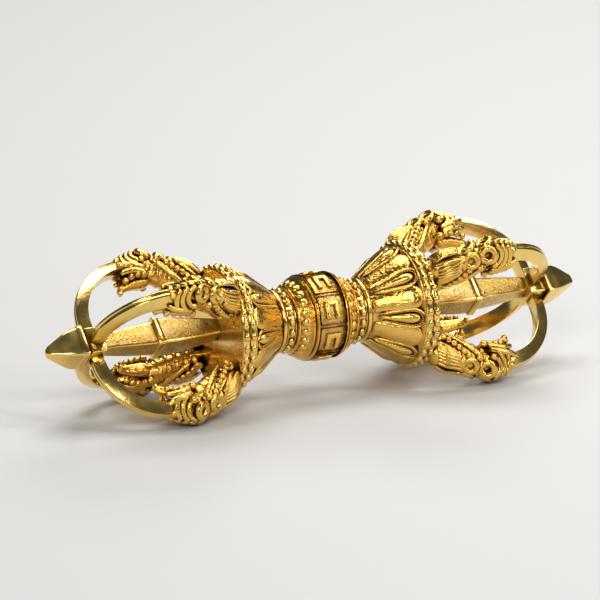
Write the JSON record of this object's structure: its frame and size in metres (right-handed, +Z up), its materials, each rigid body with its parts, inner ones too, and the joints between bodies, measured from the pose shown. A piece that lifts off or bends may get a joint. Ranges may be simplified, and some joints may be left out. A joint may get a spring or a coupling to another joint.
{
  "type": "dorje vajra",
  "caption": "Gilt metal ritual sceptre with a fret-panelled hub, lotus cups with pearl rims, makara heads, curved side prongs and square spires ending in blunt points at both ends",
  "frame": {"origin": "middle of the hub, which is the middle of the whole vajra", "axes": "+X along the long axis toward the right end, +Z up, -Y toward the viewer; the four side prongs of each end stand at 45 degrees to Y and Z"},
  "size_m": [0.09, 0.0238, 0.0238],
  "materials": {
    "polished_gold": "polished gilding",
    "grained_gold": "fine-grained gilding",
    "chased_gold": "chased gilding with dark hollows",
    "bead_gold": "polished gilding",
    "rod_brass": "turned brass"
  },
  "bodies": {
    "root": {"core_rod": "rod_brass", "hub_bead": "chased_gold", "neck_pearls_left": "bead_gold", "neck_pearls_right": "bead_gold", "neck_collar_left": "polished_gold", "neck_collar_right": "polished_gold", "lotus_cup_left": "chased_gold", "lotus_cup_right": "chased_gold", "base_plate_left": "polished_gold", "base_plate_right": "polished_gold", "spire_left": "grained_gold", "spire_right": "grained_gold", "tip_collar_left": "polished_gold", "tip_collar_right": "polished_gold", "tip_point_left": "polished_gold", "tip_point_right": "polished_gold", "rim_pearls_left_inner": "bead_gold", "rim_pearls_left_outer": "bead_gold", "rim_pearls_right_inner": "bead_gold", "rim_pearls_right_outer": "bead_gold", "makara_left_top_front": "chased_gold", "makara_left_top_back": "chased_gold", "makara_left_low_front": "chased_gold", "makara_left_low_back": "chased_gold", "makara_right_top_front": "chased_gold", "makara_right_top_back": "chased_gold", "makara_right_low_front": "chased_gold", "makara_right_low_back": "chased_gold", "prong_left_top_front": "polished_gold", "prong_left_top_back": "polished_gold", "prong_left_low_front": "polished_gold", "prong_left_low_back": "polished_gold", "prong_right_top_front": "polished_gold", "prong_right_top_back": "polished_gold", "prong_right_low_front": "polished_gold", "prong_right_low_back": "polished_gold"}
  },
  "joints": []
}
